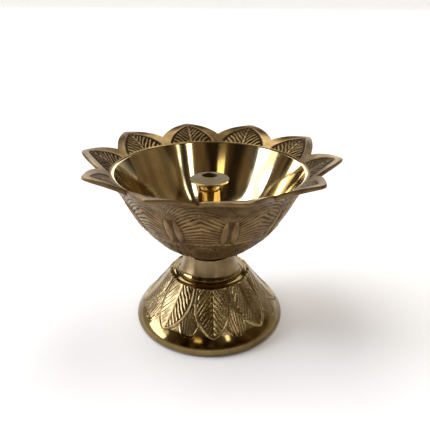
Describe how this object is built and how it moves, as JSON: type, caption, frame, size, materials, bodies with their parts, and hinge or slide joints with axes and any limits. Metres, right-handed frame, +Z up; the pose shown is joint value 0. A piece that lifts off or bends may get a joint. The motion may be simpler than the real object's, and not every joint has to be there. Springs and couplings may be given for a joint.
{
  "type": "pedestal oil lamp",
  "caption": "Small brass diya oil lamp: a lotus bowl with engraved petals on a collar and bell foot, with a lift-out wick holder.",
  "frame": {"origin": "on the lamp's axis, in the plane that the foot stands on", "axes": "+Z up along the lamp's axis; the tip of one petal points along -Y and the opposite one along +Y"},
  "size_m": [0.0732, 0.0768, 0.055],
  "materials": {
    "bowl_brass": "cast and engraved outside, polished inside",
    "collar_brass": "turned and brushed",
    "foot_brass": "embossed and polished",
    "wick_holder_brass": "turned, satin top",
    "screw_steel": "zinc plated",
    "washer_steel": "zinc plated"
  },
  "bodies": {
    "lamp": {"foot": "foot_brass", "neck_collar": "collar_brass", "lotus_bowl": "bowl_brass", "clamp_screw": "screw_steel", "washer": "washer_steel"},
    "wick_holder": {"wick_holder": "wick_holder_brass"}
  },
  "joints": [
    {"name": "wick_holder_lift", "type": "slide", "parent": "lamp", "child": "wick_holder", "axis": [0, 0, 1], "range_m": [0, 0.03]}
  ]
}
